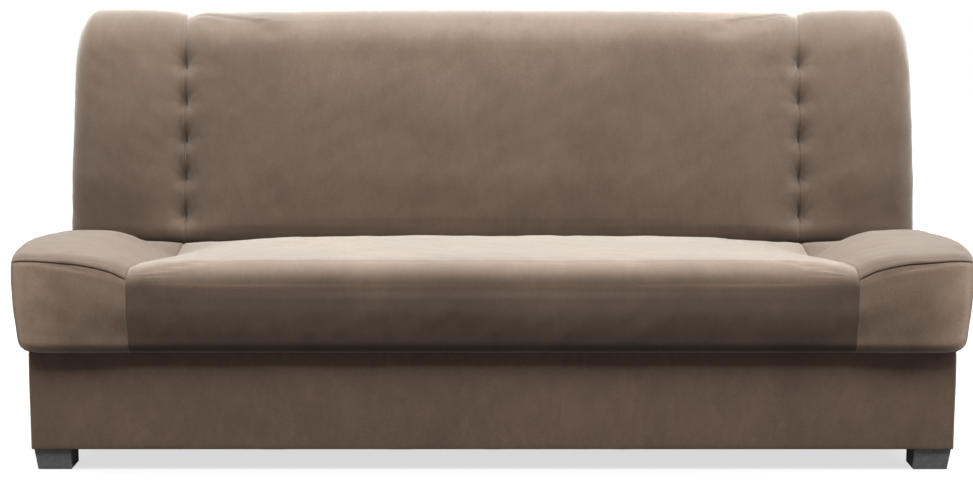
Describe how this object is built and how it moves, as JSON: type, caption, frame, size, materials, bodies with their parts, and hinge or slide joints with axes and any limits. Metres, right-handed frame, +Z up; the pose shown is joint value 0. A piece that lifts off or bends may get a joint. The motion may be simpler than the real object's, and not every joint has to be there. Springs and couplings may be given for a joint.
{
  "type": "click clack sofa bed",
  "caption": "Sofa bed with a velour seat and back on ratchet hinges over a bedding chest with plastic feet; the back reclines flat and the seat lifts.",
  "frame": {"origin": "on the floor under the middle of the sofa's footprint, with the back upright", "axes": "+X along the sofa's width to the sitter's left, which is the right of the picture; +Y from the front to the rear; +Z up"},
  "size_m": [1.933, 0.8682, 0.9249],
  "materials": {
    "velour": "matte",
    "chest_velour": "matte",
    "timber": "matte",
    "chipboard": "matte",
    "hardboard": "satin",
    "black_plastic": "satin",
    "black_steel": "satin",
    "zinc": "satin",
    "felt": "matte",
    "nonwoven": "matte"
  },
  "bodies": {
    "chest": {"chest_front_board": "chipboard", "chest_rear_board": "chipboard", "chest_side_board_left": "chipboard", "chest_side_board_right": "chipboard", "chest_floor": "hardboard", "chest_floor_batten": "timber", "chest_cover": "chest_velour", "corner_block_front_left": "timber", "corner_block_front_right": "timber", "corner_block_rear_left": "timber", "corner_block_rear_right": "timber", "leg_front_left": "black_plastic", "leg_front_right": "black_plastic", "leg_rear_left": "black_plastic", "leg_rear_right": "black_plastic", "leg_screw_front_left": "zinc", "leg_screw_front_right": "zinc", "leg_screw_rear_left": "zinc", "leg_screw_rear_right": "zinc", "hinge_bracket_left": "black_steel", "hinge_bracket_right": "black_steel", "hinge_pin_left": "zinc", "hinge_pin_right": "zinc", "bracket_studs_left": "zinc", "bracket_studs_right": "zinc"},
    "seat": {"seat_rail_front": "timber", "seat_rail_rear": "timber", "seat_rail_left": "timber", "seat_rail_right": "timber", "seat_crosspiece": "timber", "seat_springs": "black_steel", "seat_felt": "felt", "seat_underside_cloth": "nonwoven", "seat_centre_pad": "velour", "seat_wing_left": "velour", "seat_wing_right": "velour", "seat_arm_left": "black_steel", "seat_arm_right": "black_steel", "seat_arm_studs_left": "zinc", "seat_arm_studs_right": "zinc", "pawl_rivet_left": "zinc", "pawl_rivet_right": "zinc"},
    "back": {"back_rail_top": "timber", "back_rail_bottom": "timber", "back_rail_left": "timber", "back_rail_right": "timber", "back_crosspiece": "timber", "back_springs": "black_steel", "back_felt": "felt", "back_underside_cloth": "nonwoven", "back_centre_pad": "velour", "back_wing_left": "velour", "back_wing_right": "velour", "back_arm_left": "black_steel", "back_arm_right": "black_steel", "back_arm_studs_left": "zinc", "back_arm_studs_right": "zinc"},
    "pawl_left": {"pawl_left": "black_steel"},
    "pawl_right": {"pawl_right": "black_steel"}
  },
  "joints": [
    {"name": "seat_lift", "type": "hinge", "parent": "chest", "child": "seat", "pos_m": [0, 0.15599, 0.3826], "axis": [-1, 0, 0], "range_deg": [0, 50]},
    {"name": "back_recline", "type": "hinge", "parent": "chest", "child": "back", "pos_m": [0, 0.15599, 0.3826], "axis": [-1, 0, 0], "range_deg": [0, 75]},
    {"name": "pawl_left_click", "type": "hinge", "parent": "seat", "child": "pawl_left", "pos_m": [-0.9068, 0.13399, 0.3426], "axis": [-1, 0, 0], "range_deg": [0, 5]},
    {"name": "pawl_right_click", "type": "hinge", "parent": "seat", "child": "pawl_right", "pos_m": [0.9068, 0.13399, 0.3426], "axis": [-1, 0, 0], "range_deg": [0, 5]}
  ]
}
